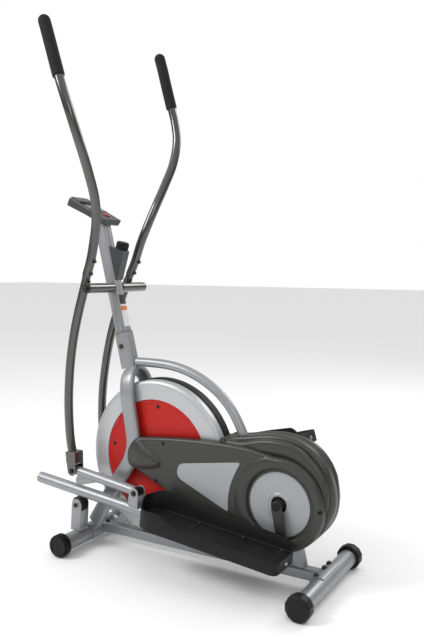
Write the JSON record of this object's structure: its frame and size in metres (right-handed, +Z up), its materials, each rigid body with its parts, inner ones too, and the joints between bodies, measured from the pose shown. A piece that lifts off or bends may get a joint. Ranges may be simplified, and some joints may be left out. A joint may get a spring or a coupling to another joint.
{
  "type": "elliptical trainer",
  "caption": "Front-wheel elliptical trainer with swinging handlebars, foot trays on crank-driven beams that roll over front rollers, a red-faced flywheel and a covered belt drive.",
  "frame": {"origin": "on the floor under the middle of the overall length, midway between the two sides", "axes": "+Z up, +X towards the crank and rear stabiliser, -Y on the user's left"},
  "size_m": [1.0067, 0.528, 1.6061],
  "materials": {
    "silver_paint": "satin metallic silver-grey paint",
    "graphite_paint": "satin metallic graphite paint",
    "graphite_plastic": "fine satin texture",
    "grip_foam": "soft black foam",
    "cover_plastic": "satin dark warm grey",
    "pale_plastic": "satin pale grey",
    "silver_plastic": "smooth silver",
    "red_plastic": "semi-gloss red",
    "red_button": "satin red",
    "black_plastic": "fine grained black",
    "black_iron": "painted black casting",
    "black_steel": "semi-gloss black",
    "bare_steel": "turned steel",
    "belt_rubber": "ribbed rubber",
    "dark_window": "smooth dark window"
  },
  "bodies": {
    "frame": {"front_stabiliser_tube": "silver_paint", "rear_stabiliser_tube": "silver_paint", "front_saddle": "silver_paint", "rear_saddle": "silver_paint", "base_rail": "silver_paint", "crank_post": "silver_paint", "crank_bearing_shell": "silver_paint", "left_fork_leg": "silver_paint", "right_fork_leg": "silver_paint", "mast_lower": "silver_paint", "mast_upper": "silver_paint", "brace_tube": "silver_paint", "left_roller_bracket": "silver_paint", "right_roller_bracket": "silver_paint", "console_housing": "graphite_plastic", "tension_housing": "graphite_plastic", "left_chain_cover": "cover_plastic", "right_chain_cover": "cover_plastic", "left_cover_disc": "pale_plastic", "right_cover_disc": "pale_plastic", "left_cover_panel": "pale_plastic", "right_cover_panel": "pale_plastic", "mast_side_bolt": "black_steel", "flywheel_axle": "bare_steel", "handlebar_axle": "bare_steel", "brake_shoe": "bare_steel", "drive_belt": "belt_rubber", "console_window": "dark_window"},
    "left_handle": {"left_lower_handlebar": "graphite_paint", "left_upper_handlebar": "graphite_paint", "left_grip": "grip_foam"},
    "right_handle": {"right_lower_handlebar": "graphite_paint", "right_upper_handlebar": "graphite_paint", "right_grip": "grip_foam"},
    "left_link": {"left_link_rod": "silver_paint"},
    "right_link": {"right_link_rod": "silver_paint"},
    "left_pedal": {"left_foot_beam": "silver_paint", "left_foot_tray": "black_plastic"},
    "right_pedal": {"right_foot_beam": "silver_paint", "right_foot_tray": "black_plastic"},
    "crank": {"left_crank_arm": "black_steel", "right_crank_arm": "black_steel", "crank_spindle": "bare_steel", "drive_pulley": "black_plastic"},
    "flywheel": {"flywheel_core": "black_iron", "flywheel_left_trim": "silver_plastic", "flywheel_right_trim": "silver_plastic", "flywheel_left_inset": "red_plastic", "flywheel_right_inset": "red_plastic", "flywheel_pulley": "black_plastic"},
    "left_roller": {"left_roller": "black_plastic"},
    "right_roller": {"right_roller": "black_plastic"},
    "left_transport_wheel": {"left_transport_wheel": "black_plastic"},
    "right_transport_wheel": {"right_transport_wheel": "black_plastic"},
    "left_levelling_cap": {"left_levelling_cap": "black_plastic"},
    "right_levelling_cap": {"right_levelling_cap": "black_plastic"},
    "tension_knob": {"tension_knob": "black_plastic"},
    "console_button": {"console_button": "red_button"}
  },
  "joints": [
    {"name": "left_handle_swing", "type": "hinge", "parent": "frame", "child": "left_handle", "pos_m": [-0.2504, -0.105, 0.8193], "axis": [0, 1, 0], "range_deg": [-9.3, 11]},
    {"name": "right_handle_swing", "type": "hinge", "parent": "frame", "child": "right_handle", "pos_m": [-0.2504, 0.105, 0.8193], "axis": [0, 1, 0], "range_deg": [-11.02, 9.32]},
    {"name": "left_link_pivot", "type": "hinge", "parent": "left_handle", "child": "left_link", "pos_m": [-0.33106, -0.105, 0.24696], "axis": [0, 1, 0], "range_deg": [-10.06, 8.51]},
    {"name": "right_link_pivot", "type": "hinge", "parent": "right_handle", "child": "right_link", "pos_m": [-0.38305, 0.105, 0.25673], "axis": [0, 1, 0], "range_deg": [-1.98, 1.67]},
    {"name": "left_beam_pivot", "type": "hinge", "parent": "left_link", "child": "left_pedal", "pos_m": [-0.0912, -0.105, 0.21484], "axis": [0, 1, 0], "range_deg": [-0.98, 0.83]},
    {"name": "right_beam_pivot", "type": "hinge", "parent": "right_link", "child": "right_pedal", "pos_m": [-0.14328, 0.105, 0.2895], "axis": [0, 1, 0], "range_deg": [-10.97, 12.98]},
    {"name": "crank_spin", "type": "hinge", "parent": "frame", "child": "crank", "pos_m": [0.351, 0, 0.24], "axis": [0, 1, 0], "continuous": true},
    {"name": "flywheel_spin", "type": "hinge", "parent": "frame", "child": "flywheel", "pos_m": [-0.0735, 0, 0.302], "axis": [0, 1, 0], "continuous": true},
    {"name": "left_roller_spin", "type": "hinge", "parent": "frame", "child": "left_roller", "pos_m": [-0.3125, -0.105, 0.1415], "axis": [0, 1, 0], "continuous": true},
    {"name": "right_roller_spin", "type": "hinge", "parent": "frame", "child": "right_roller", "pos_m": [-0.3125, 0.105, 0.1415], "axis": [0, 1, 0], "continuous": true},
    {"name": "left_transport_wheel_spin", "type": "hinge", "parent": "frame", "child": "left_transport_wheel", "pos_m": [-0.317, -0.19, 0.0343], "axis": [0, 1, 0], "continuous": true},
    {"name": "right_transport_wheel_spin", "type": "hinge", "parent": "frame", "child": "right_transport_wheel", "pos_m": [-0.317, 0.19, 0.0343], "axis": [0, 1, 0], "continuous": true},
    {"name": "left_levelling_cap_turn", "type": "hinge", "parent": "frame", "child": "left_levelling_cap", "pos_m": [0.469, -0.19, 0.0343], "axis": [0, 1, 0], "continuous": true},
    {"name": "right_levelling_cap_turn", "type": "hinge", "parent": "frame", "child": "right_levelling_cap", "pos_m": [0.469, 0.19, 0.0343], "axis": [0, 1, 0], "continuous": true},
    {"name": "tension_knob_turn", "type": "hinge", "parent": "frame", "child": "tension_knob", "pos_m": [-0.22763, 0, 0.93878], "axis": [0.2588, 0, 0.9659], "range_deg": [-135, 135]},
    {"name": "console_button_press", "type": "slide", "parent": "frame", "child": "console_button", "axis": [-0.4546, 0, -0.8907], "range_m": [0, 0.0015], "stiffness_N_per_m": 300}
  ],
  "couplings": [
    {"joint": "right_handle_swing", "follows": "left_handle_swing", "ratio": -1},
    {"joint": "left_link_pivot", "follows": "left_handle_swing", "ratio": -0.91269},
    {"joint": "left_beam_pivot", "follows": "left_handle_swing", "ratio": -0.087313},
    {"joint": "right_link_pivot", "follows": "left_handle_swing", "ratio": -0.17779},
    {"joint": "right_beam_pivot", "follows": "left_handle_swing", "ratio": 1.1778},
    {"joint": "crank_spin", "follows": "left_handle_swing", "ratio": 4.448},
    {"joint": "flywheel_spin", "follows": "left_handle_swing", "ratio": 15.886}
  ]
}
